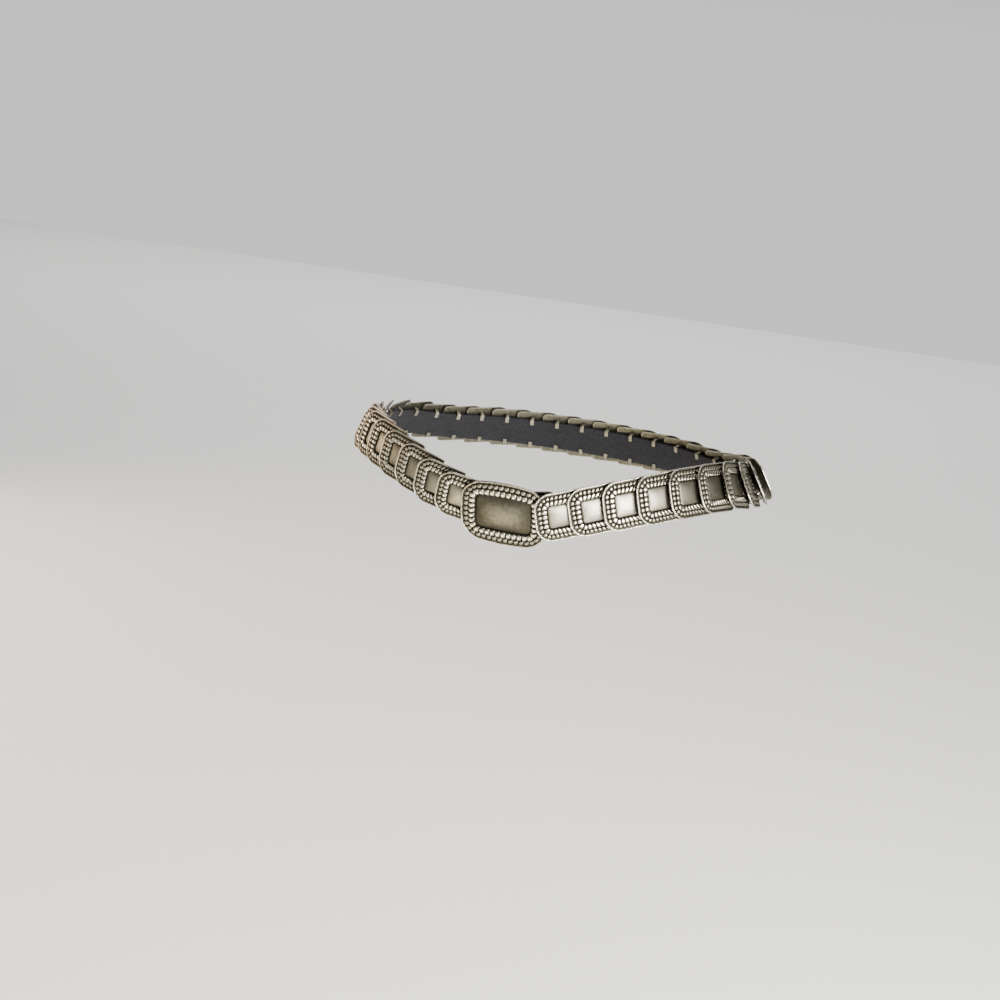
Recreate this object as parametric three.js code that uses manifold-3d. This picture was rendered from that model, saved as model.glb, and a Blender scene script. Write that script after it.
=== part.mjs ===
// Stretch belt: cast plates that overlap like roof shingles on an elastic band, closed as a loop.
// Millimetres, +Z up. The front faces -Y. The origin is the middle of the waist opening, at the
// height of the band's centre line at the back.
import * as THREE from 'three';
import { mergeVertices } from 'three/addons/utils/BufferGeometryUtils.js';
import Module from 'manifold-3d';

// Loop of the band's centre line, seen from above
const loopHalfWidth = 135;
const loopFrontDepth = 110;
const loopBackDepth = 84;
const loopFrontFlat = 28;
// Height of the loop's highest place above its back
const loopRise = 16;
// Lean of the band's face in degrees, positive where the top edge leans in over the waist, and how
// slowly it changes away from the front and the back
const frontLean = -14;
const sideLean = 31;
const backLean = 15;
const leanPower = 1.2;

// Elastic band and the play that the claws leave it
const bandHeight = 22;
const bandThickness = 1.5;
const seatGap = 0.4;

// Small plates
const plateWidth = 35;
const plateHeight = 32;
// A small plate is round at the left end, which shows, and square at the right end under its neighbour
const plateCorner = 10;
const plateHiddenCorner = 3;
const plateSideBow = 0.8;
const platePitch = 19.5;
// The plates sit closer together towards the last one: by how much, and how late along the loop
const plateCrowding = 0.03;
const crowdingPower = 5;
// Distance from a small plate's left edge to the claws on its back
const plateClawAt = 23;
// Room between a plate's relief and the next plate, which the turn of the loop takes up
const stackRoom = 1.2;

// Front plate, and how far its two ends share the loop with their neighbours
const frontWidth = 58;
const frontHeight = 44.6;
const frontCorner = 12;
const frontSideBow = 2;
const frontTopBow = 3.4;
const frontUnderNext = 10.6;
const frontOverLast = 16.6;

// Cast relief, from the rim inwards: a flat rim, a row of beads, a groove, a row of teeth, a panel
const rimThickness = 0.8;
const rimWidth = 2;
const beadRowWidth = 2.6;
const beadHeight = 1.5;
const grooveHeight = 1;
const toothRowWidth = 4;
const toothHeight = 2;
const panelHeight = 0.9;
const panelDome = 0.4;
// The front plate's relief is larger than a small plate's by this much
const frontReliefScale = 1.2;
// How far the relief falls between two beads or teeth of the front plate
const beadDip = 0.5;

// Claws on the plates' backs and the hidden clasp bar
const clawWidth = 2.6;
const clawThickness = 0.9;
const clawLeg = 4;
const claspBarThickness = 1.2;
const claspBarSpacing = 4;
const bandGrip = 8;

// Height of the loop along its two halves, as shares of loopRise, from the front centre to the back.
// The belt sits a little lower on the wearer's right, which is the left of a view from the front.
const heightRows = [
  { along: 0.0, left: -0.62, right: -0.62 },
  { along: 0.1, left: -0.24, right: -0.28 },
  { along: 0.2, left: 0.35, right: 0.31 },
  { along: 0.3, left: 0.7, right: 0.77 },
  { along: 0.4, left: 0.66, right: 0.89 },
  { along: 0.5, left: 0.44, right: 0.61 },
  { along: 0.6, left: 0.24, right: 0.37 },
  { along: 0.7, left: 0.0, right: 0.0 },
  { along: 0.8, left: 0.0, right: 0.0 },
  { along: 0.9, left: 0.0, right: 0.0 },
  { along: 1.0, left: 0.0, right: 0.0 },
];

const antiqueSilver = { color: 0x8f8b80, roughness: 0.38, metalness: 1 };
const blackElastic = { color: 0x17171a, roughness: 0.9, metalness: 0 };
const plainSteel = { color: 0x9a9a98, roughness: 0.35, metalness: 1 };

const wasm = await Module();
wasm.setup();

const upright = new THREE.Vector3(0, 0, 1);
const flatHalf = loopFrontFlat / 2;

// The loop seen from above runs from the front centre to the right, round the back and home again
function makeLoopPlan() {
  const plan = new THREE.CurvePath();
  const frontArcWidth = loopHalfWidth - flatHalf;
  const front = (x) => new THREE.Vector2(x, -loopFrontDepth);
  const quarter = Math.PI / 2;
  plan.add(new THREE.LineCurve(front(0), front(flatHalf)));
  plan.add(new THREE.EllipseCurve(flatHalf, 0, frontArcWidth, loopFrontDepth, -quarter, 0));
  plan.add(new THREE.EllipseCurve(0, 0, loopHalfWidth, loopBackDepth, 0, Math.PI));
  plan.add(new THREE.EllipseCurve(-flatHalf, 0, frontArcWidth, loopFrontDepth, Math.PI, 3 * quarter));
  plan.add(new THREE.LineCurve(front(-flatHalf), front(0)));
  return plan;
}

const loopPlan = makeLoopPlan();
const loopLength = loopPlan.getLength();

// One curve runs from the back along the left half to the front, and on along the right half
function makeHeightCurve() {
  const right = heightRows.map((row) => new THREE.Vector2(row.along, row.right));
  const left = heightRows.slice(1).reverse().map((row) => new THREE.Vector2(-row.along, row.left));
  return new THREE.SplineCurve([...left, ...right]);
}

const heightCurve = makeHeightCurve();

function loopHeight(distance) {
  const half = loopLength / 2;
  const fromFront = THREE.MathUtils.euclideanModulo(distance + half, loopLength) - half;
  return loopRise * heightCurve.getPoint((1 + fromFront / half) / 2).y;
}

function loopPoint(distance) {
  const flat = loopPlan.getPoint(THREE.MathUtils.euclideanModulo(distance / loopLength, 1));
  return new THREE.Vector3(flat.x, flat.y, loopHeight(distance));
}

// Frame of the band at a distance along the loop: x runs along it, y up its face, z outwards
function loopFrame(distance) {
  const reach = 1;
  const along = loopPoint(distance + reach).sub(loopPoint(distance - reach)).normalize();
  const level = new THREE.Vector3().crossVectors(along, upright).normalize();
  const rising = new THREE.Vector3().crossVectors(level, along);
  const endLean = level.y < 0 ? frontLean : backLean;
  const sideShare = Math.abs(level.x) ** leanPower;
  const lean = THREE.MathUtils.degToRad(endLean + (sideLean - endLean) * sideShare);
  const up = rising.clone().multiplyScalar(Math.cos(lean)).addScaledVector(level, -Math.sin(lean));
  const out = level.clone().multiplyScalar(Math.cos(lean)).addScaledVector(rising, Math.sin(lean));
  return new THREE.Matrix4().makeBasis(along, up, out).setPosition(loopPoint(distance));
}

// Closed solid through a stack of rings of points, with a fan from a centre point at each end
function solidFromRings(rings, firstCentre, lastCentre) {
  const count = rings[0].length;
  const points = [...rings.flat(), firstCentre, lastCentre];
  const first = points.length - 2;
  const last = points.length - 1;
  const lastRing = (rings.length - 1) * count;
  const index = [];
  for (let i = 0; i < count; i += 1) {
    const next = (i + 1) % count;
    index.push(first, next, i);
    index.push(last, lastRing + i, lastRing + next);
    for (let ring = 0; ring < rings.length - 1; ring += 1) {
      const low = ring * count;
      const high = low + count;
      index.push(low + i, low + next, high + next);
      index.push(low + i, high + next, high + i);
    }
  }
  const geometry = new THREE.BufferGeometry().setFromPoints(points);
  geometry.setIndex(index);
  return geometry;
}

// Rounded rectangle with bowed edges, inset from a plate's outline, with points spread over its
// arcs and edges
function plateRing(plate, inset, height, dip = 0) {
  const halfWidth = plate.width / 2 - inset;
  const halfHeight = plate.height / 2 - inset;
  const corners = [[plate.right, 1, 1], [plate.left, -1, 1], [plate.left, -1, -1], [plate.right, 1, -1]];
  const arcs = corners.map(([end, sideX, sideY], quarter) => {
    const radius = Math.max(end.corner - inset, rimWidth / 2);
    const arc = [];
    for (let i = 0; i <= end.steps; i += 1) {
      const angle = (quarter + i / end.steps) * Math.PI / 2;
      arc.push(new THREE.Vector2(
        sideX * (halfWidth - radius) + radius * Math.cos(angle),
        sideY * (halfHeight - radius) + radius * Math.sin(angle),
      ));
    }
    return arc;
  });
  const outline = [];
  arcs.forEach((arc, quarter) => {
    const next = arcs[(quarter + 1) % arcs.length][0];
    const steps = quarter % 2 === 0 ? plate.longSteps : plate.shortSteps;
    outline.push(...arc);
    for (let i = 1; i < steps; i += 1) outline.push(arc.at(-1).clone().lerp(next, i / steps));
  });
  return outline.map(({ x, y }, i) => {
    const shareX = x / (plate.width / 2);
    const shareY = y / (plate.height / 2);
    const sideBow = x > 0 ? plate.right.bow : plate.left.bow;
    return new THREE.Vector3(
      x - sideBow * shareX * shareY ** 2 + plate.centre,
      y - plate.topBow * shareY * shareX ** 2,
      height - (i % 2) * dip,
    );
  });
}

// Cast plate with its back on the plane z = 0 and its relief outwards
function castPlate(plate) {
  const scale = plate.reliefScale;
  const beadInset = scale * (rimWidth + beadRowWidth / 2);
  const grooveInset = scale * (rimWidth + beadRowWidth);
  const toothInset = grooveInset + scale * toothRowWidth * 0.42;
  const panelInset = grooveInset + scale * toothRowWidth;
  const rings = [
    plateRing(plate, 0, 0),
    plateRing(plate, 0, rimThickness),
    plateRing(plate, scale * rimWidth, rimThickness),
    plateRing(plate, beadInset, scale * beadHeight, plate.dip),
    plateRing(plate, grooveInset, grooveHeight),
    plateRing(plate, toothInset, scale * toothHeight, plate.dip),
    plateRing(plate, panelInset, panelHeight),
  ];
  const back = new THREE.Vector3(plate.centre, 0, 0);
  const dome = new THREE.Vector3(plate.centre, 0, panelHeight + panelDome);
  return solidFromRings(rings, back, dome);
}

const smallPlate = {
  width: plateWidth,
  height: plateHeight,
  left: { corner: plateCorner, bow: plateSideBow, steps: 5 },
  right: { corner: plateHiddenCorner, bow: 0, steps: 1 },
  topBow: 0,
  centre: plateWidth / 2 - plateClawAt,
  longSteps: 1,
  shortSteps: 1,
  reliefScale: 1,
  dip: 0,
};

const frontEnd = { corner: frontCorner, bow: frontSideBow, steps: 8 };

const frontPlate = {
  width: frontWidth,
  height: frontHeight,
  left: frontEnd,
  right: frontEnd,
  topBow: frontTopBow,
  centre: 0,
  longSteps: 14,
  shortSteps: 8,
  reliefScale: frontReliefScale,
  dip: beadDip,
};

// Two claws that hold a strip of the given height: the posts stand from inside the plate at
// z = reach down past the strip's edges, and the legs turn in under it at z = -depth
function clawPair(stripHeight, depth, reach) {
  const inner = stripHeight / 2 + seatGap;
  const outer = inner + clawThickness;
  const profile = new THREE.Shape([
    new THREE.Vector2(inner, reach),
    new THREE.Vector2(inner, -depth),
    new THREE.Vector2(inner - clawLeg, -depth),
    new THREE.Vector2(inner - clawLeg, -depth - clawThickness),
    new THREE.Vector2(outer, -depth - clawThickness),
    new THREE.Vector2(outer, reach),
  ]);
  const upper = new THREE.ExtrudeGeometry(profile, { depth: clawWidth, bevelEnabled: false });
  upper.translate(0, 0, -clawWidth / 2);
  const turn = new THREE.Matrix4().makeBasis(
    new THREE.Vector3(0, 1, 0),
    new THREE.Vector3(0, 0, 1),
    new THREE.Vector3(1, 0, 0),
  );
  upper.applyMatrix4(turn);
  const lower = upper.clone().rotateZ(Math.PI);
  return [upper, lower];
}

function toManifold(geometry) {
  const bare = geometry.clone();
  bare.deleteAttribute('normal');
  bare.deleteAttribute('uv');
  const merged = mergeVertices(bare, 1e-4);
  return new wasm.Manifold(new wasm.Mesh({
    numProp: 3,
    vertProperties: new Float32Array(merged.attributes.position.array),
    triVerts: new Uint32Array(merged.index.array),
  }));
}

// One solid from several soldered ones
function solder(geometries) {
  const joined = geometries.map(toManifold).reduce((sum, next) => sum.add(next)).getMesh();
  const geometry = new THREE.BufferGeometry();
  geometry.setAttribute('position', new THREE.BufferAttribute(joined.vertProperties, 3));
  geometry.setIndex(new THREE.BufferAttribute(joined.triVerts, 1));
  return geometry;
}

// Strip that follows the loop between two distances, its mid surface set in from the band's by inset
function loopStrip(stations, height, thickness, inset) {
  const sections = stations.map((distance) => {
    const frame = loopFrame(distance);
    const corners = [[1, 1], [-1, 1], [-1, -1], [1, -1]];
    return corners.map(([up, out]) => new THREE.Vector3(
      0,
      up * height / 2,
      out * thickness / 2 - inset,
    ).applyMatrix4(frame));
  });
  const middle = (section) => section[0].clone().add(section[2]).multiplyScalar(0.5);
  return solidFromRings(sections, middle(sections[0]), middle(sections.at(-1)));
}

const belt = new THREE.Group();

function addPiece(name, geometry, look, frame = new THREE.Matrix4()) {
  geometry.computeVertexNormals();
  const mesh = new THREE.Mesh(geometry, new THREE.MeshStandardMaterial(look));
  mesh.name = name;
  frame.decompose(mesh.position, mesh.quaternion, mesh.scale);
  belt.add(mesh);
}

// A plate, tilted so that its left end stands off, with the claws that hold a strip behind it
function platePiece(plate, { at, clawsAt, lift, tilt, holdHeight, holdDepth }) {
  const cast = castPlate(plate);
  cast.rotateY(tilt);
  cast.translate(0, 0, bandThickness / 2 + lift);
  const clawFrame = loopFrame(at).invert().multiply(loopFrame(clawsAt));
  const insideCast = bandThickness / 2 + lift + rimThickness / 2 - (clawsAt - at) * Math.tan(tilt);
  const claws = clawPair(holdHeight, holdDepth, insideCast);
  return solder([cast, ...claws.map((claw) => claw.applyMatrix4(clawFrame))]);
}

// Stations of the small plates' claws: the next plate lies over the front plate's right end, and
// the last plate lies under its left end
const plateTail = plateWidth - plateClawAt;
const nextPlateAt = frontWidth / 2 - frontUnderNext + plateClawAt;
const lastPlateAt = loopLength - (frontWidth / 2 - frontOverLast) - plateTail;
const intervals = Math.round((lastPlateAt - nextPlateAt) / platePitch);

function plateAt(i) {
  const share = (i - 1) / intervals;
  const crowded = (1 + plateCrowding) * share - plateCrowding * share ** crowdingPower;
  return nextPlateAt + (lastPlateAt - nextPlateAt) * crowded;
}

const underPlateAt = plateAt(0);
const lastPlate = intervals + 1;
const bandDepth = bandThickness / 2 + seatGap;
const claspHeight = bandHeight + 2 * (seatGap + clawThickness);

// Each small plate's tilt lets it clear the relief of the one before it, and its lift keeps its
// lower end clear of the band
const tiltOf = (i) => Math.atan((toothHeight + stackRoom) / (plateAt(i) - plateAt(i - 1)));
const liftFor = (tilt) => plateTail * Math.sin(tilt) + seatGap;
// The tucked plate lies flat over the clasp's claws
const underPlateLift = seatGap + clawThickness + seatGap;

// How far the loop has fallen back from the flat front at a distance, and how far it has turned
const bendRadius = (loopHalfWidth - flatHalf) ** 2 / loopFrontDepth;
const fallAt = (distance) => (distance - flatHalf) ** 2 / (2 * bendRadius);
const turnAt = (distance) => (distance - flatHalf) / bendRadius;

// The front plate clears the tucked plate's left end, which stands out from the turn of the loop,
// and the last plate at its own left end
const underEndRise = plateClawAt * Math.sin(turnAt(underPlateAt)) - fallAt(underPlateAt);
const frontLift = underPlateLift + toothHeight + underEndRise + stackRoom / 2;
const lastPlateBack = loopLength - lastPlateAt;
const lastTilt = tiltOf(lastPlate);
const leftEndLift = liftFor(lastTilt) + toothHeight + stackRoom / 2
  + (frontWidth / 2 - lastPlateBack) * Math.tan(lastTilt);
const frontTilt = Math.atan((leftEndLift - frontLift) / (frontWidth / 2));

// The next plate clears the front plate's rim, beads and teeth. The band's climb takes it back behind
// the face that leans out
const climb = loopHeight(nextPlateAt) - loopHeight(0);
const climbBack = -climb * Math.sin(THREE.MathUtils.degToRad(frontLean));
const frontEndRows = [
  { inset: 0, height: rimThickness },
  { inset: frontReliefScale * (rimWidth + beadRowWidth / 2), height: frontReliefScale * beadHeight },
  { inset: frontReliefScale * (rimWidth + beadRowWidth), height: frontReliefScale * toothHeight },
];
const tiltsOverFront = frontEndRows.map((row) => {
  const fromCentre = frontWidth / 2 - row.inset;
  const run = nextPlateAt - fromCentre;
  const stand = frontLift - fromCentre * Math.tan(frontTilt) + row.height + climbBack;
  const rise = stand + fallAt(fromCentre) - run ** 2 / (2 * bendRadius);
  return Math.atan(rise / (run + plateTail));
});
const nextPlateTilt = Math.max(tiltOf(1), ...tiltsOverFront);

// Hidden clasp: its left claws stand clear of the last plate, its right ones lie under the tucked one
const claspFrom = -lastPlateBack + clawWidth / 2 + claspBarSpacing;
const claspTo = underPlateAt - clawWidth / 2 - claspBarSpacing;
const leftGripAt = -lastPlateBack + plateTail + 2 * seatGap + clawWidth / 2;
const rightGripAt = claspTo - clawWidth;
const underPlateEdge = underPlateAt - plateClawAt;
const frontClawAt = (leftGripAt + clawWidth / 2 + underPlateEdge) / 2;
const bandFrom = rightGripAt - bandGrip / 2;
const bandTo = loopLength + leftGripAt + bandGrip / 2;

function addFrontPlate() {
  const piece = platePiece(frontPlate, {
    at: 0,
    clawsAt: frontClawAt,
    lift: frontLift,
    tilt: frontTilt,
    holdHeight: claspHeight,
    holdDepth: bandDepth + claspBarThickness + seatGap,
  });
  addPiece('front_plate', piece, antiqueSilver, loopFrame(0));
}

function addSmallPlates() {
  for (let i = 0; i <= lastPlate; i += 1) {
    const distance = plateAt(i);
    const tilt = [0, nextPlateTilt][i] ?? tiltOf(i);
    const piece = platePiece(smallPlate, {
      at: distance,
      clawsAt: distance,
      lift: i === 0 ? underPlateLift : liftFor(tilt),
      tilt,
      holdHeight: bandHeight,
      holdDepth: bandDepth,
    });
    addPiece(`plate_${String(i).padStart(2, '0')}`, piece, antiqueSilver, loopFrame(distance));
  }
}

// The band has a section at each plate's claws and one between them
function addElasticBand() {
  const stations = [bandFrom];
  for (let i = 0; i < lastPlate; i += 1) stations.push(plateAt(i), (plateAt(i) + plateAt(i + 1)) / 2);
  stations.push(lastPlateAt, (lastPlateAt + bandTo) / 2, bandTo);
  addPiece('elastic_band', loopStrip(stations, bandHeight, bandThickness, 0), blackElastic);
}

function addClasp() {
  const inset = bandDepth + claspBarThickness / 2;
  const steps = 4;
  const stations = [];
  for (let i = 0; i <= steps; i += 1) stations.push(claspFrom + (claspTo - claspFrom) * i / steps);
  const parts = [loopStrip(stations, claspHeight, claspBarThickness, inset)];
  for (const distance of [leftGripAt, rightGripAt]) {
    for (const claw of clawPair(bandHeight, bandDepth, inset)) {
      parts.push(claw.rotateX(Math.PI).applyMatrix4(loopFrame(distance)));
    }
  }
  addPiece('clasp', solder(parts), plainSteel);
}

addFrontPlate();
addSmallPlates();
addElasticBand();
addClasp();

export default belt;
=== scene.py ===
"""Stretch belt of cast plates on black elastic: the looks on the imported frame."""
import math

import bpy
import numpy as np
from mathutils import Matrix, Vector


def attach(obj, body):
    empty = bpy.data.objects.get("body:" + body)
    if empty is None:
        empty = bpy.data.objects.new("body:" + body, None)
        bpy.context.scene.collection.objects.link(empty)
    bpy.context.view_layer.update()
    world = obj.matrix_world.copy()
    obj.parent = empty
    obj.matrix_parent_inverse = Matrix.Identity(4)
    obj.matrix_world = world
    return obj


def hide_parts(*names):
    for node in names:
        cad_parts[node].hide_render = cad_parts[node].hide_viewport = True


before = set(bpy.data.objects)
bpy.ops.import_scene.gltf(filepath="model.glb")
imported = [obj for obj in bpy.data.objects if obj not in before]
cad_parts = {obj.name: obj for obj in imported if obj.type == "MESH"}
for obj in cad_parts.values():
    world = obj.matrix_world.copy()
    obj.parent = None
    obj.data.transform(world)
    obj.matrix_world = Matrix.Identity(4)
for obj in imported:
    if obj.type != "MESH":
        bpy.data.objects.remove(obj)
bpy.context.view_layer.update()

MM = 0.001

# Loop of the band's centre line, in millimetres, and its lean in degrees, as in the part's source
LOOP_HALF_WIDTH = 135.0
LOOP_FRONT_DEPTH = 110.0
LOOP_BACK_DEPTH = 84.0
LOOP_FRONT_FLAT = 28.0
LOOP_RISE = 16.0
FRONT_LEAN = -14.0
SIDE_LEAN = 31.0
BACK_LEAN = 15.0
LEAN_POWER = 1.2
# Height along each half, as shares of the rise, from the front centre to the back
LEFT_ROWS = [-0.62, -0.24, 0.35, 0.7, 0.66, 0.44, 0.24, 0.0, 0.0, 0.0, 0.0]
RIGHT_ROWS = [-0.62, -0.28, 0.31, 0.77, 0.89, 0.61, 0.37, 0.0, 0.0, 0.0, 0.0]
HEIGHT_ROWS = LEFT_ROWS[:0:-1] + RIGHT_ROWS

# Band and plates
BAND_HEIGHT = 22.0
BAND_THICKNESS = 1.5
SEAT_GAP = 0.4
PLATE_WIDTH = 35.0
PLATE_CLAW_AT = 23.0
PLATE_PITCH = 19.5
PLATE_CROWDING = 0.03
CROWDING_POWER = 5
STACK_ROOM = 1.2
FRONT_WIDTH = 58.0
FRONT_UNDER_NEXT = 10.6
FRONT_OVER_LAST = 16.6
RIM_THICKNESS = 0.8
RIM_WIDTH = 2.0
BEAD_ROW_WIDTH = 2.6
BEAD_HEIGHT = 1.5
TOOTH_HEIGHT = 2.0
FRONT_RELIEF_SCALE = 1.2
CLAW_WIDTH = 2.6
CLAW_THICKNESS = 0.9
CLAW_LEG = 4.0
CLASP_BAR_THICKNESS = 1.2
CLASP_BAR_SPACING = 4.0
BAND_GRIP = 8.0

UPRIGHT = np.array([0.0, 0.0, 1.0])

# Points along half the flat front, along each front quarter and along the back of the loop
FLAT_POINTS = 9
QUARTER_POINTS = 800
BACK_POINTS = 1600


def make_loop_plan():
    """Points of the loop seen from above, and the distance along it of each."""
    flat = LOOP_FRONT_FLAT / 2
    arc = LOOP_HALF_WIDTH - flat
    line = np.linspace(0, flat, FLAT_POINTS)
    front = np.full(FLAT_POINTS, -LOOP_FRONT_DEPTH)
    quarter = np.linspace(-math.pi / 2, 0, QUARTER_POINTS)
    back = np.linspace(0, math.pi, BACK_POINTS)
    home = np.linspace(math.pi, 1.5 * math.pi, QUARTER_POINTS)
    parts = [
        np.stack([line, front], 1),
        np.stack([flat + arc * np.cos(quarter), LOOP_FRONT_DEPTH * np.sin(quarter)], 1)[1:],
        np.stack([LOOP_HALF_WIDTH * np.cos(back), LOOP_BACK_DEPTH * np.sin(back)], 1)[1:],
        np.stack([-flat + arc * np.cos(home), LOOP_FRONT_DEPTH * np.sin(home)], 1)[1:],
        np.stack([line - flat, front], 1)[1:],
    ]
    points = np.concatenate(parts)
    steps = np.linalg.norm(np.diff(points, axis=0), axis=1)
    return points, np.concatenate([[0], np.cumsum(steps)])


PLAN, PLAN_AT = make_loop_plan()
LOOP_LENGTH = PLAN_AT[-1]


def loop_height(distance):
    """Height of the loop: a smooth curve through the rows, from the back round the left half."""
    half = LOOP_LENGTH / 2
    from_front = (distance + half) % LOOP_LENGTH - half
    last = len(HEIGHT_ROWS) - 1
    place = (1 + from_front / half) / 2 * last
    low = min(int(place), last - 1)
    u = place - low
    a, b, c, d = [HEIGHT_ROWS[min(max(low + k, 0), last)] for k in (-1, 0, 1, 2)]
    smooth = 2 * b + (c - a) * u + (2 * a - 5 * b + 4 * c - d) * u ** 2
    smooth += (3 * b - a - 3 * c + d) * u ** 3
    return LOOP_RISE * smooth / 2


def loop_point(distance):
    wrapped = distance % LOOP_LENGTH
    x = np.interp(wrapped, PLAN_AT, PLAN[:, 0])
    y = np.interp(wrapped, PLAN_AT, PLAN[:, 1])
    return np.array([x, y, loop_height(distance)])


def loop_frame(distance):
    """Frame of the band: x runs along it, y up its face, z outwards."""
    along = loop_point(distance + 1) - loop_point(distance - 1)
    along /= np.linalg.norm(along)
    level = np.cross(along, UPRIGHT)
    level /= np.linalg.norm(level)
    rising = np.cross(level, along)
    end_lean = FRONT_LEAN if level[1] < 0 else BACK_LEAN
    lean = math.radians(end_lean + (SIDE_LEAN - end_lean) * abs(level[0]) ** LEAN_POWER)
    up = math.cos(lean) * rising - math.sin(lean) * level
    out = math.cos(lean) * level + math.sin(lean) * rising
    matrix = np.eye(4)
    matrix[:3, 0] = along
    matrix[:3, 1] = up
    matrix[:3, 2] = out
    matrix[:3, 3] = loop_point(distance)
    return matrix


def moved(points, matrix):
    return points @ matrix[:3, :3].T + matrix[:3, 3]


# Places of the plates, worked out as in the part's source
PLATE_TAIL = PLATE_WIDTH - PLATE_CLAW_AT
NEXT_AT = FRONT_WIDTH / 2 - FRONT_UNDER_NEXT + PLATE_CLAW_AT
LAST_AT = LOOP_LENGTH - (FRONT_WIDTH / 2 - FRONT_OVER_LAST) - PLATE_TAIL
INTERVALS = round((LAST_AT - NEXT_AT) / PLATE_PITCH)
LAST_PLATE = INTERVALS + 1


def plate_at(i):
    share = (i - 1) / INTERVALS
    crowded = (1 + PLATE_CROWDING) * share - PLATE_CROWDING * share ** CROWDING_POWER
    return NEXT_AT + (LAST_AT - NEXT_AT) * crowded


def tilt_of(i):
    return math.atan((TOOTH_HEIGHT + STACK_ROOM) / (plate_at(i) - plate_at(i - 1)))


def lift_for(tilt):
    return PLATE_TAIL * math.sin(tilt) + SEAT_GAP


UNDER_AT = plate_at(0)
LAST_BACK = LOOP_LENGTH - LAST_AT
BEND_RADIUS = (LOOP_HALF_WIDTH - LOOP_FRONT_FLAT / 2) ** 2 / LOOP_FRONT_DEPTH
UNDER_LIFT = 2 * SEAT_GAP + CLAW_THICKNESS
BAND_DEPTH = BAND_THICKNESS / 2 + SEAT_GAP
CLASP_HEIGHT = BAND_HEIGHT + 2 * (SEAT_GAP + CLAW_THICKNESS)


def fall_at(distance):
    return (distance - LOOP_FRONT_FLAT / 2) ** 2 / (2 * BEND_RADIUS)


UNDER_TURN = (UNDER_AT - LOOP_FRONT_FLAT / 2) / BEND_RADIUS
UNDER_END_RISE = PLATE_CLAW_AT * math.sin(UNDER_TURN) - fall_at(UNDER_AT)
FRONT_LIFT = UNDER_LIFT + TOOTH_HEIGHT + UNDER_END_RISE + STACK_ROOM / 2


def front_tilt():
    last_tilt = tilt_of(LAST_PLATE)
    left_end = lift_for(last_tilt) + TOOTH_HEIGHT + STACK_ROOM / 2
    left_end += (FRONT_WIDTH / 2 - LAST_BACK) * math.tan(last_tilt)
    return math.atan((left_end - FRONT_LIFT) / (FRONT_WIDTH / 2))


def next_tilt():
    """Tilt of the plate that lies over the front plate's right end."""
    climb = loop_height(NEXT_AT) - loop_height(0)
    climb_back = -climb * math.sin(math.radians(FRONT_LEAN))
    scale = FRONT_RELIEF_SCALE
    rows = [
        (0.0, RIM_THICKNESS),
        (scale * (RIM_WIDTH + BEAD_ROW_WIDTH / 2), scale * BEAD_HEIGHT),
        (scale * (RIM_WIDTH + BEAD_ROW_WIDTH), scale * TOOTH_HEIGHT),
    ]
    tilts = [tilt_of(1)]
    for inset, height in rows:
        from_centre = FRONT_WIDTH / 2 - inset
        run = NEXT_AT - from_centre
        stand = FRONT_LIFT - from_centre * math.tan(front_tilt()) + height + climb_back
        rise = stand + fall_at(from_centre) - run ** 2 / (2 * BEND_RADIUS)
        tilts.append(math.atan(rise / (run + PLATE_TAIL)))
    return max(tilts)


CLASP_TO = UNDER_AT - CLAW_WIDTH / 2 - CLASP_BAR_SPACING
LEFT_GRIP_AT = -LAST_BACK + PLATE_TAIL + 2 * SEAT_GAP + CLAW_WIDTH / 2
RIGHT_GRIP_AT = CLASP_TO - CLAW_WIDTH
FRONT_CLAW_AT = (LEFT_GRIP_AT + CLAW_WIDTH / 2 + UNDER_AT - PLATE_CLAW_AT) / 2
BAND_FROM = RIGHT_GRIP_AT - BAND_GRIP / 2
BAND_TO = LOOP_LENGTH + LEFT_GRIP_AT + BAND_GRIP / 2


# Casting of one plate. Heights and insets are in millimetres from its back and its outline.
SMALL = {
    "width": PLATE_WIDTH,
    "height": 32.0,
    "left": {"corner": 10.0, "inner": 2.0, "bow": 0.8, "steps": 40},
    "right": {"corner": 3.0, "inner": 1.4, "bow": 0.0, "steps": 10},
    "top_bow": 0.0,
    "centre": PLATE_WIDTH / 2 - PLATE_CLAW_AT,
    "scale": 1.0,
    "beads": 35,
    "teeth": 27,
    "ropes": 92,
    "crowding": 0.16,
    "long_steps": 70,
    "short_steps": 40,
    "dome": 0.7,
    "dome_power": 2.6,
    "panel_wear_and_shade": 0.39,
}
FRONT_END = {"corner": 12.0, "inner": 3.6, "bow": 2.0, "steps": 44}
FRONT = {
    "width": FRONT_WIDTH,
    "height": 44.6,
    "left": FRONT_END,
    "right": FRONT_END,
    "top_bow": 3.4,
    "centre": 0.0,
    "scale": FRONT_RELIEF_SCALE,
    "beads": 42,
    "teeth": 36,
    "ropes": 124,
    "crowding": 0.0,
    "long_steps": 150,
    "short_steps": 86,
    "dome": 2.1,
    "dome_power": 2.2,
    # The front plate's panel is darker than the small plates': painted shade over its worn metal
    "panel_wear_and_shade": 0.24,
}


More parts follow.
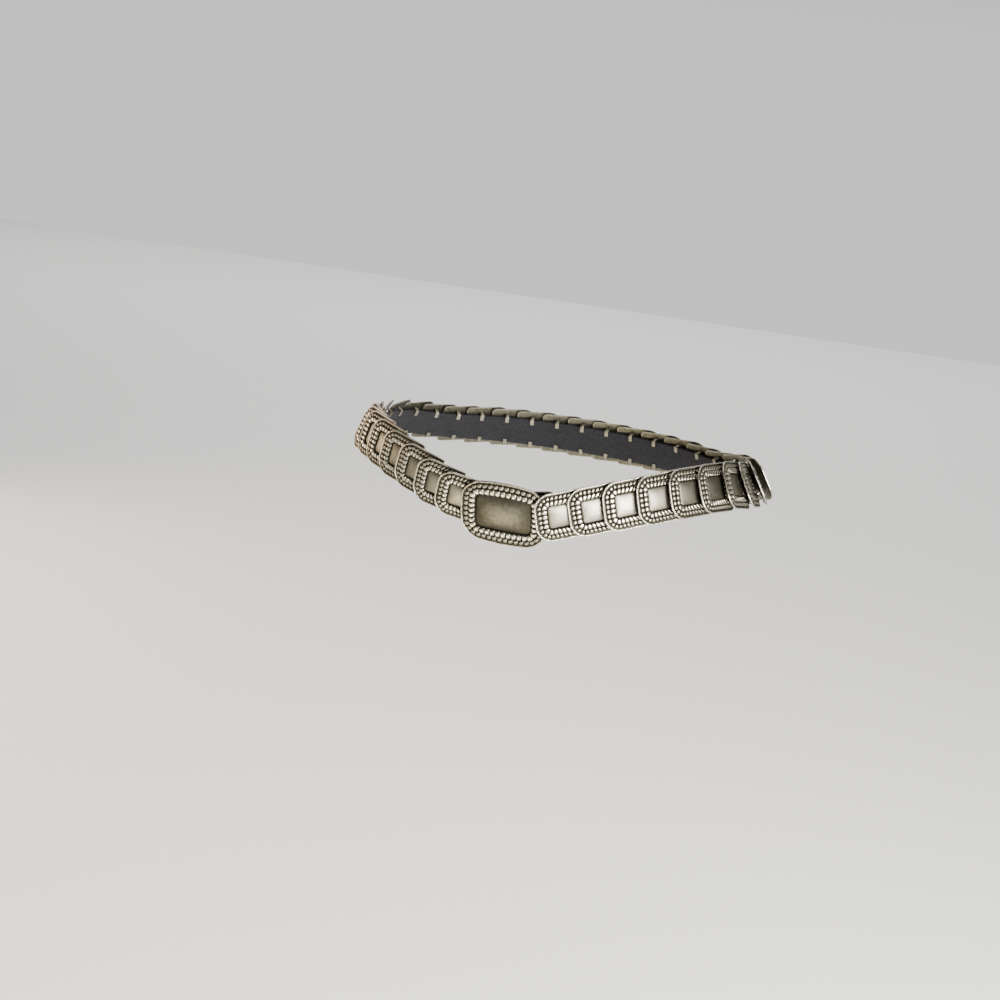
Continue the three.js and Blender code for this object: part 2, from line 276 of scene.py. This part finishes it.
def ring(plate, inset):
    """Rounded rectangle with bowed edges, inset from the plate's outline."""
    half_width = plate["width"] / 2 - inset
    half_height = plate["height"] / 2 - inset
    arcs = []
    for quarter, (side_x, side_y) in enumerate(((1, 1), (-1, 1), (-1, -1), (1, -1))):
        end = plate["right"] if side_x > 0 else plate["left"]
        radius = max(end["corner"] - inset, end["inner"])
        angle = (quarter + np.arange(end["steps"] + 1) / end["steps"]) * math.pi / 2
        x = side_x * (half_width - radius) + radius * np.cos(angle)
        y = side_y * (half_height - radius) + radius * np.sin(angle)
        arcs.append(np.stack([x, y], 1))
    points = []
    for quarter, arc in enumerate(arcs):
        following = arcs[(quarter + 1) % 4][0]
        steps = plate["long_steps"] if quarter % 2 == 0 else plate["short_steps"]
        share = np.arange(1, steps)[:, None] / steps
        points += [arc, arc[-1] * (1 - share) + following * share]
    flat = np.concatenate(points)
    share_x = flat[:, 0] / (plate["width"] / 2)
    share_y = flat[:, 1] / (plate["height"] / 2)
    bow = np.where(flat[:, 0] > 0, plate["right"]["bow"], plate["left"]["bow"])
    x = flat[:, 0] - bow * share_x * share_y ** 2
    y = flat[:, 1] - plate["top_bow"] * share_y * share_x ** 2
    return np.stack([x, y], 1)


def turns(points, count, crowding):
    """Phase of each point of a ring in a row of bumps, -1 to 1 across one bump.

    Crowding puts more of the bumps on the long edges.
    """
    steps = np.linalg.norm((np.roll(points, -1, axis=0) - points) * [1 + crowding, 1], axis=1)
    at = np.concatenate([[0], np.cumsum(steps)[:-1]]) / steps.sum()
    return 2 * ((at * count) % 1) - 1


def swell(across, along, power):
    """Height of a rounded bump, 1 at its middle and 0 from its edge outwards."""
    left = 1 - np.abs(across) ** power - np.abs(along) ** power
    return np.sqrt(np.clip(left, 0, 1))


# The relief from the rim inwards: inset from the outline and base height of the metal
RELIEF = [
    {"inset": 0.0, "height": 0.3},
    {"inset": 0.06, "height": 0.62},
    {"inset": 0.22, "height": 0.8},
    {"inset": 0.42, "height": 0.82},
    {"inset": 0.82, "height": 0.8},
    {"inset": 1.05, "height": 0.6},
    {"inset": 1.65, "height": 0.62},
    {"inset": 1.85, "height": 0.58},
    {"inset": 3.3, "height": 0.82},
    {"inset": 4.6, "height": 0.86},
    {"inset": 4.85, "height": 0.98},
    {"inset": 8.15, "height": 0.98},
    {"inset": 8.6, "height": 0.62},
    {"inset": 8.95, "height": 0.72},
    {"inset": 9.25, "height": 0.95},
]
# Rows of bumps on it. A spacing over 1 leaves a gap between bumps, and a higher power is squarer.
BUMP_ROWS = [
    {"count": "ropes", "mid": 0.62, "half": 0.42, "height": 0.22, "spacing": 0.98, "power": 2.0,
     "wear": 0.8, "wear_power": 1.0},
    {"count": "beads", "mid": 3.18, "half": 1.4, "height": 0.82, "spacing": 1.04, "power": 2.3,
     "wear": 0.62, "wear_power": 1.8},
    {"count": "teeth", "mid": 6.5, "half": 1.85, "height": 1.08, "spacing": 1.03, "power": 3.2,
     "wear": 0.84, "wear_power": 1.6},
]
INSETS = [
    0.0, 0.06, 0.22, 0.42, 0.62, 0.82, 1.05, 1.65, 1.85, 2.0, 2.3, 2.7, 3.18, 3.66, 4.1, 4.42,
    4.7, 4.9, 5.25, 5.7, 6.3, 6.9, 7.5, 7.95, 8.25, 8.4, 8.6, 8.9, 9.25,
]
DOME_SHARES = [0.97, 0.9, 0.78, 0.6, 0.4, 0.18]
# Insets of the back face and of its edge, and how far in the height stays the same at any scale
BACK_INSET = 1.2
BACK_EDGE_INSET = 0.12
EDGE_TO = 0.3
# Insets at which the zones of wear begin and end
RIM_TO = 0.9
GROOVE_FROM = 1.0
GROOVE_TO = 1.8
DITCH_FROM = 8.3
PANEL_FROM = 8.8
# Wear of the zones, from 0 in dark recesses to 1 on rubbed metal. The dome's share is rubbed metal
# and a painted sheen on the panel's middle.
BACK_WEAR = 0.35
EDGE_WEAR = 0.5
SUNK_WEAR = 0.07
RIM_WEAR = 0.8
GROOVE_WEAR = 0.22
DITCH_WEAR = 0.05
DOME_WEAR_AND_SHEEN = 0.17


def zone_wear(plate, inset, level):
    """Wear of one ring of a casting, from the wear of its bumps, with painted shade on the front
    plate's panel.
    """
    if inset < RIM_TO:
        level = np.maximum(level, RIM_WEAR)
    if GROOVE_FROM < inset < GROOVE_TO:
        level = np.full(len(level), GROOVE_WEAR)
    if inset > DITCH_FROM:
        level = np.full(len(level), DITCH_WEAR if inset < PANEL_FROM else plate["panel_wear_and_shade"])
    return np.clip(level, 0, 1)


def cast_plate(plate):
    """Points, faces and wear of a casting."""
    scale = plate["scale"]
    inset_rows = np.array([row["inset"] for row in RELIEF])
    height_rows = np.array([row["height"] for row in RELIEF])
    phases = []
    for row in BUMP_ROWS:
        middle = ring(plate, scale * row["mid"])
        phases.append(turns(middle, plate[row["count"]], plate["crowding"]))
    back_ring = ring(plate, BACK_EDGE_INSET)
    count = len(back_ring)
    rings = [
        np.column_stack([ring(plate, BACK_INSET), np.zeros(count)]),
        np.column_stack([back_ring, np.zeros(count)]),
    ]
    wear = [np.full(count, BACK_WEAR), np.full(count, EDGE_WEAR)]
    for inset in INSETS:
        height = np.full(count, np.interp(inset, inset_rows, height_rows))
        level = np.full(count, SUNK_WEAR)
        for row, phase in zip(BUMP_ROWS, phases):
            across = (inset - row["mid"]) / row["half"]
            bump = swell(across, phase * row["spacing"], row["power"])
            height += row["height"] * bump
            level += row["wear"] * bump ** row["wear_power"]
        if inset > EDGE_TO:
            height *= scale
        rings.append(np.column_stack([ring(plate, scale * inset), height]))
        wear.append(zone_wear(plate, inset, level))
    edge = rings[-1]
    top = edge[:, 2].mean()
    dome = plate["dome"]
    reach = np.abs(edge[:, :2]).max(axis=0)
    for share in DOME_SHARES:
        middle = edge[:, :2] * share
        level = np.prod(1 - np.abs(middle / reach) ** plate["dome_power"], axis=1)
        rings.append(np.column_stack([middle, top + dome * level]))
        # The panel lightens towards its middle: rubbed metal and a painted sheen
        wear.append(plate["panel_wear_and_shade"] + DOME_WEAR_AND_SHEEN * level)
    points = np.concatenate(rings)
    centre_back = len(points)
    points = np.concatenate([points, [[0, 0, 0], [0, 0, top + dome]]])
    worn = np.concatenate(wear + [[BACK_WEAR, plate["panel_wear_and_shade"] + DOME_WEAR_AND_SHEEN]])
    points[:, 0] += plate["centre"]
    i = np.arange(count)
    following = (i + 1) % count
    quads = []
    for k in range(len(rings) - 1):
        low = k * count
        high = low + count
        quads.append(np.stack([low + i, low + following, high + following, high + i], 1))
    last = (len(rings) - 1) * count
    fans = [
        np.stack([np.full(count, centre_back), following, i], 1),
        np.stack([np.full(count, centre_back + 1), last + i, last + following], 1),
    ]
    return points, np.concatenate(quads).tolist() + np.concatenate(fans).tolist(), worn


def tube_faces(sections, count):
    """Faces of a closed tube through sections of count points each, with both its ends."""
    start = (sections - 1) * count
    faces = [list(range(count))[::-1], [start + k for k in range(count)]]
    for low in range(0, start, count):
        high = low + count
        for k in range(count):
            following = (k + 1) % count
            faces.append([low + k, low + following, high + following, high + k])
    return faces


# Bend of a claw's corners, width of its rounded edges and size of its end faces beside its middle
CLAW_BEND = 0.35
CLAW_EDGE = 0.2
CLAW_END_SHARE = 0.94


def claw_solid(strip_height, depth, reach, side):
    """One claw as a bent strip: up through the plate, past the strip's edge and in under it."""
    inner = strip_height / 2 + SEAT_GAP
    outer = inner + CLAW_THICKNESS
    foot = -depth - CLAW_THICKNESS
    profile = np.array([
        (inner, reach),
        (inner, -depth),
        (inner - CLAW_LEG + CLAW_BEND, -depth),
        (inner - CLAW_LEG, -depth - CLAW_BEND),
        (inner - CLAW_LEG, foot),
        (outer - 2 * CLAW_BEND, foot),
        (outer - CLAW_BEND, foot + CLAW_BEND / 3),
        (outer, foot + 2 * CLAW_BEND),
        (outer, reach),
    ])
    middle = profile.mean(axis=0)
    end_profile = middle + (profile - middle) * CLAW_END_SHARE
    half = CLAW_WIDTH / 2
    sections = [
        (-half, end_profile),
        (-half + CLAW_EDGE, profile),
        (half - CLAW_EDGE, profile),
        (half, end_profile),
    ]
    count = len(profile)
    points = np.concatenate([
        np.column_stack([np.full(count, x), outline]) for x, outline in sections
    ])
    points[:, :2] *= side
    return points, tube_faces(len(sections), count)


def turned(angle):
    """Turn about the y axis, which lifts the left end of a plate for a positive angle."""
    matrix = np.eye(4)
    matrix[0, 0] = math.cos(angle)
    matrix[0, 2] = math.sin(angle)
    matrix[2, 0] = -math.sin(angle)
    matrix[2, 2] = math.cos(angle)
    return matrix


def make_object(name, points, faces, wear, material, sharp=40):
    """Mesh object from points in millimetres, with its wear, painted sheen and painted shade kept as
    a colour attribute.

    Edges that turn by more than sharp degrees stay sharp.
    """
    mesh = bpy.data.meshes.new(name)
    mesh.from_pydata((points * MM).tolist(), [], faces)
    attribute = mesh.color_attributes.new("wear", "FLOAT_COLOR", "POINT")
    colours = np.ones((len(points), 4), np.float32)
    colours[:, :3] = np.asarray(wear, np.float32)[:, None]
    attribute.data.foreach_set("color", colours.ravel())
    mesh.materials.append(material)
    mesh.shade_smooth()
    mesh.set_sharp_from_angle(angle=math.radians(sharp))
    made = bpy.data.objects.new(name, mesh)
    bpy.context.scene.collection.objects.link(made)
    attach(made, "root")
    return made


def add_plate(name, node, plate, at, claws_at, lift, tilt, hold_height, hold_depth):
    """A casting and its two claws, standing for the node."""
    points, faces, wear = cast_plate(plate)
    points = moved(points, turned(tilt))
    points[:, 2] += BAND_THICKNESS / 2 + lift
    points = moved(points, loop_frame(at))
    wear = wear.tolist()
    reach = BAND_THICKNESS / 2 + lift + RIM_THICKNESS / 2 - (claws_at - at) * math.tan(tilt)
    for side in (1, -1):
        claw, claw_faces = claw_solid(hold_height, hold_depth, reach, side)
        start = len(points)
        points = np.concatenate([points, moved(claw, loop_frame(claws_at))])
        faces += [[start + k for k in face] for face in claw_faces]
        wear += [EDGE_WEAR] * len(claw)
    made = make_object(name, points, faces, wear, METAL)
    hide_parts(node)


# Materials
def new_material(name):
    material = bpy.data.materials.new(name)
    material.use_nodes = True
    tree = material.node_tree
    shader = tree.nodes["Principled BSDF"]
    return material, tree, shader


def ramp(tree, stops, interpolation="LINEAR"):
    node = tree.nodes.new("ShaderNodeValToRGB")
    node.color_ramp.interpolation = interpolation
    elements = node.color_ramp.elements
    while len(elements) < len(stops):
        elements.new(0.5)
    for element, (place, colour) in zip(elements, stops):
        element.position = place
        element.color = (*colour, 1)
    return node


def noise(tree, scale, detail, rough=0.55):
    """Output of a noise node, its scale in waves to the metre of the object."""
    place = tree.nodes.new("ShaderNodeTexCoord")
    node = tree.nodes.new("ShaderNodeTexNoise")
    node.inputs["Scale"].default_value = scale
    node.inputs["Detail"].default_value = detail
    node.inputs["Roughness"].default_value = rough
    tree.links.new(place.outputs["Object"], node.inputs["Vector"])
    return node.outputs["Fac"]


def worked_out(tree, operation, *values):
    """Result of a math node whose inputs are sockets or plain numbers."""
    node = tree.nodes.new("ShaderNodeMath")
    node.operation = operation
    for socket, value in zip(node.inputs, values):
        if isinstance(value, bpy.types.NodeSocket):
            tree.links.new(value, socket)
        else:
            socket.default_value = value
    return node.outputs["Value"]


def set_colour(tree, shader, source, stops):
    """Colour that follows the source through the stops of a ramp."""
    node = ramp(tree, stops)
    tree.links.new(source, node.inputs["Fac"])
    tree.links.new(node.outputs["Color"], shader.inputs["Base Color"])


def set_roughness(tree, shader, source, start, at_start, at_one):
    """Roughness that goes from at_start to at_one as the source goes from start to 1."""
    node = tree.nodes.new("ShaderNodeMapRange")
    node.inputs["From Min"].default_value = start
    node.inputs["From Max"].default_value = 1.0
    node.inputs["To Min"].default_value = at_start
    node.inputs["To Max"].default_value = at_one
    tree.links.new(source, node.inputs["Value"])
    tree.links.new(node.outputs["Result"], shader.inputs["Roughness"])


def set_bump(tree, shader, source, strength, depth):
    """Bump that follows the source, its depth in millimetres."""
    node = tree.nodes.new("ShaderNodeBump")
    node.inputs["Strength"].default_value = strength
    node.inputs["Distance"].default_value = depth * MM
    tree.links.new(source, node.inputs["Height"])
    tree.links.new(node.outputs["Normal"], shader.inputs["Normal"])


# Width of the range of wear that the cloud adds and takes away
CLOUD_WEAR = 0.24
# Pitches of the weave in millimetres, and the depth of its picks as a share of its ribs
RIB_PITCH = 1.1
PICK_PITCH = 0.8
PICK_SHARE = 0.45


def antique_metal():
    """Cast metal, dark oxide in the recesses and rubbed bright on what stands proud, with a painted
    sheen on the panels' middles and painted shade on the front plate's panel.
    """
    material, tree, shader = new_material("antique_metal")
    wear = tree.nodes.new("ShaderNodeVertexColor")
    wear.layer_name = "wear"
    cloud = noise(tree, 420, 6, 0.68)
    grain = noise(tree, 2600, 3)
    shift = worked_out(tree, "MULTIPLY_ADD", cloud, CLOUD_WEAR, -CLOUD_WEAR / 2)
    total = worked_out(tree, "ADD", wear.outputs["Color"], shift)
    set_colour(tree, shader, total, [
        (0.05, (0.008, 0.007, 0.005)),
        (0.3, (0.05, 0.046, 0.033)),
        (0.5, (0.17, 0.16, 0.122)),
        (0.75, (0.3, 0.277, 0.218)),
        (1.0, (0.55, 0.517, 0.445)),
    ])
    set_roughness(tree, shader, total, 0.1, 0.62, 0.17)
    set_bump(tree, shader, grain, 0.25, 0.06)
    shader.inputs["Metallic"].default_value = 1.0
    return material


def elastic():
    """Woven elastic: fine ribs along the band and finer picks across it."""
    material, tree, shader = new_material("black_elastic")
    place = tree.nodes.new("ShaderNodeUVMap")
    place.uv_map = "band"
    apart = tree.nodes.new("ShaderNodeSeparateXYZ")
    tree.links.new(place.outputs["UV"], apart.inputs["Vector"])

    def wave(source, pitch):
        turn = worked_out(tree, "MULTIPLY", source, 2 * math.pi / (pitch * MM))
        return worked_out(tree, "SINE", turn)

    ribs = wave(apart.outputs["Y"], RIB_PITCH)
    picks = wave(apart.outputs["X"], PICK_PITCH)
    weave = worked_out(tree, "MULTIPLY_ADD", picks, PICK_SHARE, ribs)
    lint = noise(tree, 900, 4)
    set_colour(tree, shader, lint, [(0.3, (0.004, 0.004, 0.005)), (0.75, (0.018, 0.018, 0.021))])
    set_bump(tree, shader, weave, 0.7, 0.18)
    shader.inputs["Roughness"].default_value = 0.8
    shader.inputs["Specular IOR Level"].default_value = 0.12
    shader.inputs["Sheen Weight"].default_value = 0.02
    shader.inputs["Sheen Roughness"].default_value = 0.5
    return material


def plain_steel():
    """Plain satin steel, a little cloudy and finely grained."""
    material, tree, shader = new_material("clasp_metal")
    cloud = noise(tree, 420, 4)
    grain = noise(tree, 2200, 2)
    set_colour(tree, shader, cloud, [(0.3, (0.42, 0.42, 0.41)), (0.7, (0.62, 0.62, 0.6))])
    set_roughness(tree, shader, cloud, 0.0, 0.28, 0.48)
    set_bump(tree, shader, grain, 0.2, 0.05)
    shader.inputs["Metallic"].default_value = 1.0
    return material


METAL = antique_metal()
ELASTIC = elastic()
STEEL = plain_steel()


def stance_of(i):
    """Tilt and lift of a small plate. Plate 0 lies flat under the front plate, and 1 lies over it."""
    if i == 0:
        return 0.0, UNDER_LIFT
    tilt = next_tilt() if i == 1 else tilt_of(i)
    return tilt, lift_for(tilt)


def add_plates():
    clasp_depth = BAND_DEPTH + CLASP_BAR_THICKNESS + SEAT_GAP
    add_plate(
        "front_casting", "front_plate", FRONT, 0.0, FRONT_CLAW_AT, FRONT_LIFT, front_tilt(),
        CLASP_HEIGHT, clasp_depth,
    )
    for i in range(LAST_PLATE + 1):
        at = plate_at(i)
        tilt, lift = stance_of(i)
        add_plate(
            f"casting_{i:02d}", f"plate_{i:02d}", SMALL, at, at, lift, tilt,
            BAND_HEIGHT, BAND_DEPTH,
        )


# Section of the band: where its rounded edges begin, and the inset and thickness of their shoulders
BAND_ROUND = 0.6
BAND_SHOULDER = 0.15
SHOULDER_SHARE = 0.7
BAND_ROWS = 20
BAND_STATIONS = 400
BAND_SHARP = 60


def add_band():
    """Elastic band with rounded woven edges."""
    stations = np.linspace(BAND_FROM, BAND_TO, BAND_STATIONS)
    half = BAND_HEIGHT / 2
    thick = BAND_THICKNESS / 2
    shoulder = half - BAND_SHOULDER
    side = [(y, thick) for y in np.linspace(-1, 1, BAND_ROWS + 1) * (half - BAND_ROUND)]
    side += [(shoulder, thick * SHOULDER_SHARE), (half, 0.0), (shoulder, -thick * SHOULDER_SHARE)]
    section = np.concatenate([side, np.negative(side)])
    count = len(section)
    flat = np.column_stack([np.zeros(count), section])
    points = np.concatenate([moved(flat, loop_frame(s)) for s in stations])
    faces = [face[::-1] for face in tube_faces(BAND_STATIONS, count)]
    made = make_object("elastic_strip", points, faces, np.ones(len(points)), ELASTIC, BAND_SHARP)
    layer = made.data.uv_layers.new(name="band")
    corner = np.zeros(len(made.data.loops), np.int32)
    made.data.loops.foreach_get("vertex_index", corner)
    along = (stations[corner // count] - BAND_FROM) * MM
    up = section[corner % count, 0] * MM
    layer.data.foreach_set("uv", np.stack([along, up], 1).astype(np.float32).ravel())
    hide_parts("elastic_band")


add_plates()
add_band()

# The clasp keeps its solid, with its edges broken
CLASP_EDGE = 0.15
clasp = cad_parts["clasp"]
clasp.data.materials.clear()
clasp.data.materials.append(STEEL)
bevel = clasp.modifiers.new("edges", "BEVEL")
bevel.width = CLASP_EDGE * MM
bevel.segments = 2
bevel.limit_method = "ANGLE"


# Camera at the photograph's angle, in degrees and millimetres. The focal share is of the sensor.
SENSOR_WIDTH = 36
CAMERA_AZIMUTH = 15.640
CAMERA_ELEVATION = 13.230
CAMERA_DISTANCE = 1020.5
CAMERA_YAW = 2.166
CAMERA_PITCH = -1.756
CAMERA_ROLL = 6.648
FOCAL_SHARE = 1.44517


def add_camera():
    azimuth = math.radians(CAMERA_AZIMUTH)
    elevation = math.radians(CAMERA_ELEVATION)
    back = np.array([
        math.sin(azimuth) * math.cos(elevation),
        -math.cos(azimuth) * math.cos(elevation),
        math.sin(elevation),
    ])
    right = np.cross(UPRIGHT, back)
    right /= np.linalg.norm(right)
    basis = Matrix(np.stack([right, np.cross(back, right), back], 1).tolist()).to_4x4()
    yaw = Matrix.Rotation(math.radians(CAMERA_YAW), 4, "Y")
    pitch = Matrix.Rotation(math.radians(CAMERA_PITCH), 4, "X")
    roll = Matrix.Rotation(math.radians(CAMERA_ROLL), 4, "Z")
    data = bpy.data.cameras.new("camera")
    data.sensor_width = SENSOR_WIDTH
    data.lens = SENSOR_WIDTH * FOCAL_SHARE
    data.clip_start = 0.02
    data.clip_end = 50
    camera = bpy.data.objects.new("camera", data)
    place = Matrix.Translation((back * CAMERA_DISTANCE * MM).tolist())
    camera.matrix_world = place @ basis @ yaw @ pitch @ roll
    bpy.context.scene.collection.objects.link(camera)
    bpy.context.scene.camera = camera


add_camera()


# Floor and lights, in metres
FLOOR_REACH = 4.2
FLOOR_HEIGHT = -0.42


def add_floor():
    mesh = bpy.data.meshes.new("floor")
    corners = [
        (x * FLOOR_REACH, y * FLOOR_REACH, FLOOR_HEIGHT)
        for x, y in ((-1, -1), (1, -1), (1, 1), (-1, 1))
    ]
    mesh.from_pydata(corners, [], [[0, 1, 2, 3]])
    material, _, shader = new_material("floor")
    shader.inputs["Base Color"].default_value = (0.93, 0.93, 0.92, 1)
    shader.inputs["Roughness"].default_value = 0.9
    mesh.materials.append(material)
    floor = bpy.data.objects.new("floor", mesh)
    bpy.context.scene.collection.objects.link(floor)


def add_light(name, place, target, size, power, colour, spread=180):
    """Rectangular light at a place, turned to its target, its power in watts."""
    data = bpy.data.lights.new(name, "AREA")
    data.shape = "RECTANGLE"
    data.size = size[0]
    data.size_y = size[1]
    data.energy = power
    data.color = colour
    data.spread = math.radians(spread)
    light = bpy.data.objects.new(name, data)
    light.location = place
    direction = Vector(target) - light.location
    light.rotation_euler = direction.to_track_quat("-Z", "Y").to_euler()
    bpy.context.scene.collection.objects.link(light)


def add_world():
    """Pale all round at the height of the object, and darker overhead round the top light."""
    world = bpy.data.worlds.new("studio")
    world.use_nodes = True
    tree = world.node_tree
    back = tree.nodes["Background"]
    place = tree.nodes.new("ShaderNodeTexCoord")
    apart = tree.nodes.new("ShaderNodeSeparateXYZ")
    tree.links.new(place.outputs["Generated"], apart.inputs["Vector"])
    height = ramp(tree, [
        (0.06, (0.86, 0.87, 0.88)),
        (0.22, (0.3, 0.3, 0.31)),
        (0.5, (0.07, 0.07, 0.075)),
    ], "EASE")
    tree.links.new(apart.outputs["Z"], height.inputs["Fac"])
    tree.links.new(height.outputs["Color"], back.inputs["Color"])
    back.inputs["Strength"].default_value = 1.0
    bpy.context.scene.world = world


add_floor()
add_world()
add_light("key", (1.1, -1.0, 0.05), (0, 0, 0), (0.8, 0.6), 76, (1.0, 0.99, 0.96), 140)
add_light("top", (0.3, -0.2, 2.2), (0, 0, 0), (2.2, 1.8), 40, (1.0, 0.98, 0.95))
add_light("back", (-1.1, 3.5, 2.6), (-1.1, 3.5, 0.0), (6.5, 3.0), 175, (1.0, 0.99, 0.97))
add_light("left", (-1.45, 0.1, 0.0), (0, 0, 0), (1.5, 0.7), 15, (1.0, 0.74, 0.5), 140)
add_light("low", (-0.13, -0.46, -0.4), (0, -0.1, 0), (0.26, 0.06), 1.2, (1.0, 0.84, 0.5))
